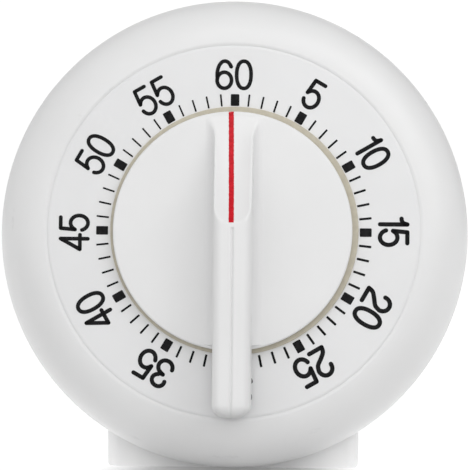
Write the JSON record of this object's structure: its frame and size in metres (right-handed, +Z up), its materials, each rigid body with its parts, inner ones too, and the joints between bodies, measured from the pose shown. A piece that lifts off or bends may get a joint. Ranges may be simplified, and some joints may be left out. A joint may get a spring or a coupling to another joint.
{
  "type": "kitchen timer",
  "caption": "Round wind-up kitchen timer with a minute dial, a finger-grip knob with a pointer line, a wide foot, and a wound movement with a bell inside.",
  "frame": {"origin": "centre of the foot's resting face", "axes": "+Z up, -Y out of the front, +X to the right as seen from the front"},
  "size_m": [0.092, 0.0615, 0.0924],
  "materials": {
    "case_white": "white moulded plastic, satin to gloss",
    "dial_white": "white plastic with black printed scale",
    "knob_white": "white moulded plastic, satin",
    "ring_beige": "matt beige plastic",
    "screw_steel": "zinc-plated steel",
    "plate_steel": "rolled steel sheet",
    "brass": "turned brass",
    "spring_steel": "blued spring steel",
    "arbor_steel": "turned steel",
    "nylon_ivory": "natural nylon",
    "bell_chrome": "plated steel bell"
  },
  "bodies": {
    "case": {"front_housing": "case_white", "rear_housing": "case_white", "dial_plate": "dial_white", "gap_ring": "ring_beige", "case_screws": "screw_steel", "movement_screws": "screw_steel", "front_plate": "plate_steel", "rear_plate": "plate_steel", "plate_pillars": "brass", "pillar_nuts": "brass", "mainspring": "spring_steel", "spring_post": "arbor_steel", "stop_lug": "plate_steel", "hairspring": "spring_steel", "hairspring_stud": "brass", "bell_post": "arbor_steel", "bell": "bell_chrome", "bell_screw": "screw_steel", "hammer_post": "arbor_steel", "hammer_spring": "spring_steel"},
    "setting": {"knob": "knob_white", "main_arbor": "arbor_steel", "spring_collet": "brass", "main_wheel": "nylon_ivory", "stop_pin": "arbor_steel", "trip_cam": "nylon_ivory", "arbor_clip": "arbor_steel"},
    "second": {"second_arbor": "arbor_steel", "second_pinion": "brass", "second_wheel": "nylon_ivory"},
    "third": {"third_arbor": "arbor_steel", "third_pinion": "brass", "third_wheel": "nylon_ivory"},
    "escape": {"escape_arbor": "arbor_steel", "escape_pinion": "brass", "escape_wheel": "brass"},
    "balance": {"balance_staff": "arbor_steel", "balance_wheel": "brass", "pallet_lever": "arbor_steel"},
    "hammer": {"hammer_arm": "arbor_steel", "hammer_head": "brass", "hammer_bush": "brass"}
  },
  "joints": [
    {"name": "knob_turn", "type": "hinge", "parent": "case", "child": "setting", "pos_m": [0, -0.02225, 0.04761], "axis": [0, 0.9945, -0.1045], "range_deg": [0, 354]},
    {"name": "second_spin", "type": "hinge", "parent": "case", "child": "second", "pos_m": [0.01164, -0.00677, 0.06096], "axis": [0, 0.9945, -0.1045], "range_deg": [-2130, 6]},
    {"name": "third_spin", "type": "hinge", "parent": "case", "child": "third", "pos_m": [-0.00021, -0.00645, 0.06405], "axis": [0, 0.9945, -0.1045], "range_deg": [-36, 12780]},
    {"name": "escape_spin", "type": "hinge", "parent": "case", "child": "escape", "pos_m": [-0.0089, -0.00656, 0.06299], "axis": [0, 0.9945, -0.1045], "range_deg": [-76680, 216]},
    {"name": "balance_swing", "type": "hinge", "parent": "case", "child": "balance", "pos_m": [-0.01545, -0.00704, 0.05843], "axis": [0, 0.9945, -0.1045], "range_deg": [-9, 9], "stiffness_Nm_per_rad": 0.000005},
    {"name": "hammer_swing", "type": "hinge", "parent": "case", "child": "hammer", "pos_m": [0.016, 0.00408, 0.05892], "axis": [0, -0.9945, 0.1045], "range_deg": [0, 4.2], "stiffness_Nm_per_rad": 0.05}
  ],
  "couplings": [
    {"joint": "second_spin", "follows": "knob_turn", "ratio": -6},
    {"joint": "third_spin", "follows": "knob_turn", "ratio": 36},
    {"joint": "escape_spin", "follows": "knob_turn", "ratio": -216}
  ]
}
